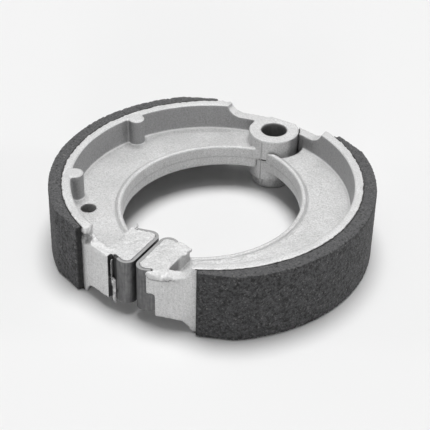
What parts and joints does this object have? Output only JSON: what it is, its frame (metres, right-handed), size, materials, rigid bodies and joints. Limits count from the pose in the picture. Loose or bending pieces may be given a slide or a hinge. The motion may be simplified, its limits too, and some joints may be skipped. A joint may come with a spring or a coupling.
{
  "type": "drum brake shoe pair",
  "caption": "Pair of cast drum brake shoes closed into a ring, with bonded linings, stacked anchor-pin eyes, web spring holes and steel-capped cam heads.",
  "frame": {"origin": "on the anchor pin's axis, midway between the two stacked eyes", "axes": "+Z along the anchor pin, +Y from the drum's axis out through the pin, the cam gap at the far end towards -Y; the upper eye belongs to the shoe on -X"},
  "size_m": [0.125, 0.1172, 0.0288],
  "materials": {
    "cast_shoe": "as cast, trimmed flash, pads and eye faces machined",
    "lining": "ground friction material with coarse grain",
    "cam_cap": "pressed strip, bare"
  },
  "bodies": {
    "root": {"left_shoe": "cast_shoe", "right_shoe": "cast_shoe", "left_lining": "lining", "right_lining": "lining", "left_cam_cap": "cam_cap", "right_cam_cap": "cam_cap"}
  },
  "joints": []
}
